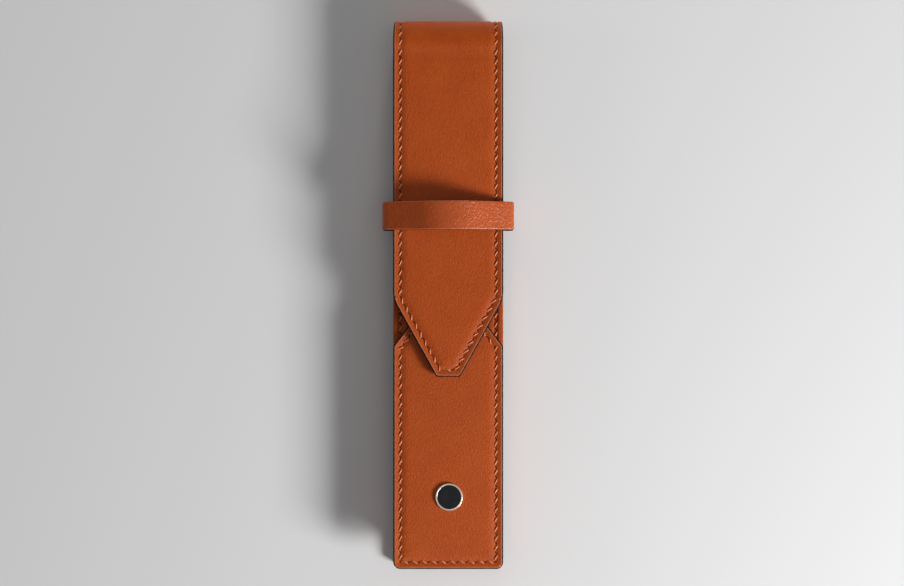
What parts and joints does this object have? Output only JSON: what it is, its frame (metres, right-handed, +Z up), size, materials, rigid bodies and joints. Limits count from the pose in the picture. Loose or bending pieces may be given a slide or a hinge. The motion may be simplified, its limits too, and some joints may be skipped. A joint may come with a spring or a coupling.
{
  "type": "fountain pen case",
  "caption": "Slim tan leather case for one pen: flat gusseted pouch, strip folded over the top into a pointed flap held by a raised loop, stitched edges and a round metal-rimmed disc.",
  "frame": {"origin": "on the table under the middle of the case, which lies on its back with the front up", "axes": "+Z up through the front, +Y from the bottom edge to the folded top end, +X across the case"},
  "size_m": [0.0396, 0.165, 0.0246],
  "materials": {
    "outer_leather": "fine-grained tan calfskin",
    "lining_leather": "smooth tan lining leather",
    "thread": "waxed sewing thread, a tone lighter than the leather",
    "bright_metal": "polished",
    "black_inlay": "glossy black resin"
  },
  "bodies": {
    "pouch": {"back_outer": "outer_leather", "back_lining": "lining_leather", "back_thread": "thread", "gusset": "outer_leather", "gusset_thread": "thread", "front_outer": "outer_leather", "front_lining": "lining_leather", "front_thread": "thread", "loop_strap": "outer_leather", "emblem_bezel": "bright_metal", "emblem_disc": "black_inlay", "emblem_washer": "bright_metal"},
    "fold_1": {"fold_outer_1": "outer_leather", "fold_lining_1": "lining_leather", "fold_thread_1": "thread"},
    "fold_2": {"fold_outer_2": "outer_leather", "fold_lining_2": "lining_leather", "fold_thread_2": "thread"},
    "fold_3": {"fold_outer_3": "outer_leather", "fold_lining_3": "lining_leather", "fold_thread_3": "thread"},
    "fold_4": {"fold_outer_4": "outer_leather", "fold_lining_4": "lining_leather", "fold_thread_4": "thread"},
    "flap": {"flap_outer": "outer_leather", "flap_lining": "lining_leather", "flap_thread": "thread"}
  },
  "joints": [
    {"name": "fold_1_unroll", "type": "hinge", "parent": "pouch", "child": "fold_1", "pos_m": [0, 0.07395, 0], "axis": [-1, 0, 0], "range_deg": [0, 22]},
    {"name": "fold_2_unroll", "type": "hinge", "parent": "fold_1", "child": "fold_2", "pos_m": [0, 0.08, 0.0025], "axis": [-1, 0, 0], "range_deg": [0, 44]},
    {"name": "fold_3_unroll", "type": "hinge", "parent": "fold_2", "child": "fold_3", "pos_m": [0, 0.0825, 0.00855], "axis": [-1, 0, 0], "range_deg": [0, 44]},
    {"name": "fold_4_unroll", "type": "hinge", "parent": "fold_3", "child": "fold_4", "pos_m": [0, 0.08, 0.0146], "axis": [-1, 0, 0], "range_deg": [0, 44]},
    {"name": "flap_open", "type": "hinge", "parent": "fold_4", "child": "flap", "pos_m": [0, 0.07395, 0.0171], "axis": [-1, 0, 0], "range_deg": [0, 22], "deforming": ["loop_strap"]}
  ],
  "couplings": [
    {"joint": "fold_1_unroll", "follows": "flap_open", "ratio": 1},
    {"joint": "fold_2_unroll", "follows": "flap_open", "ratio": 2},
    {"joint": "fold_3_unroll", "follows": "flap_open", "ratio": 2},
    {"joint": "fold_4_unroll", "follows": "flap_open", "ratio": 2}
  ]
}
